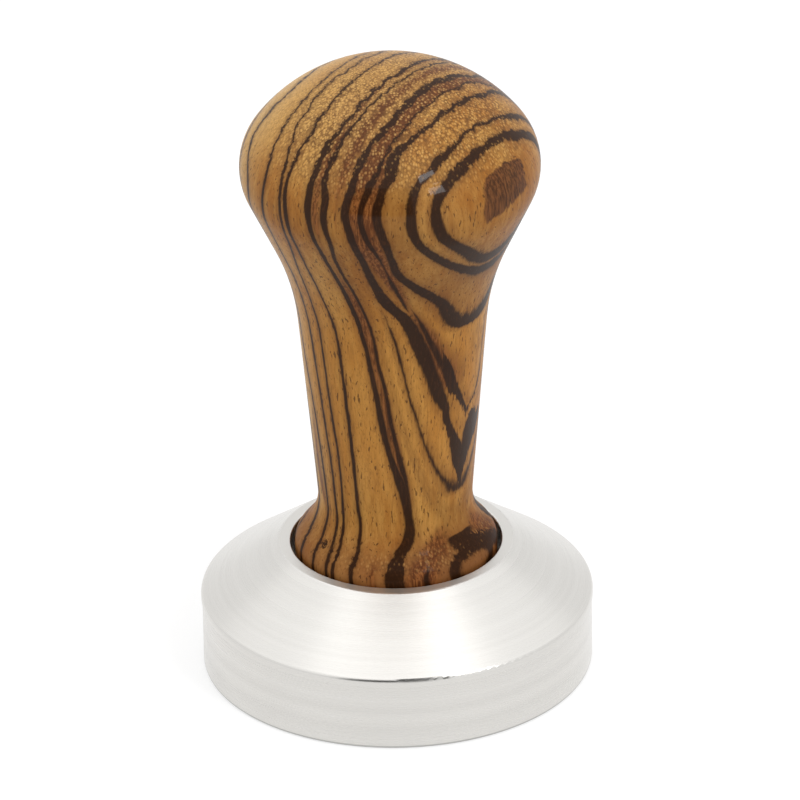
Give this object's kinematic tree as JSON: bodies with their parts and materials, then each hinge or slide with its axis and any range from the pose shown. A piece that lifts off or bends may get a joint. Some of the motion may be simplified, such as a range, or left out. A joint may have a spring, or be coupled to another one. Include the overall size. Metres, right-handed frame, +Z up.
{
  "type": "espresso tamper",
  "caption": "Espresso tamper: a turned wooden handle with a domed crown, screwed into the well of a conical steel piston with a flat face.",
  "frame": {"origin": "centre of the flat tamping face, which lies on Z = 0", "axes": "+Z up along the turned axis, from the tamping face to the crown of the handle; X and Y lie in the face"},
  "size_m": [0.058, 0.058, 0.096],
  "materials": {
    "piston_steel": "fine turned",
    "stud_steel": "machined",
    "washer": "matt",
    "insert_brass": "machined",
    "zebrawood": "satin lacquer"
  },
  "bodies": {
    "base": {"piston_base": "piston_steel", "stud": "stud_steel"},
    "washer": {"friction_washer": "washer"},
    "handle": {"handle": "zebrawood", "threaded_insert": "insert_brass"}
  },
  "joints": [
    {"name": "handle_rise", "type": "slide", "parent": "base", "child": "washer", "axis": [0, 0, 1], "range_m": [0, 0.012]},
    {"name": "handle_turn", "type": "hinge", "parent": "washer", "child": "handle", "pos_m": [0, 0, 0.0145], "axis": [0, 0, 1], "range_deg": [0, 2880]}
  ],
  "couplings": [
    {"joint": "handle_rise", "follows": "handle_turn", "m_per_rad": 0.00023873}
  ]
}
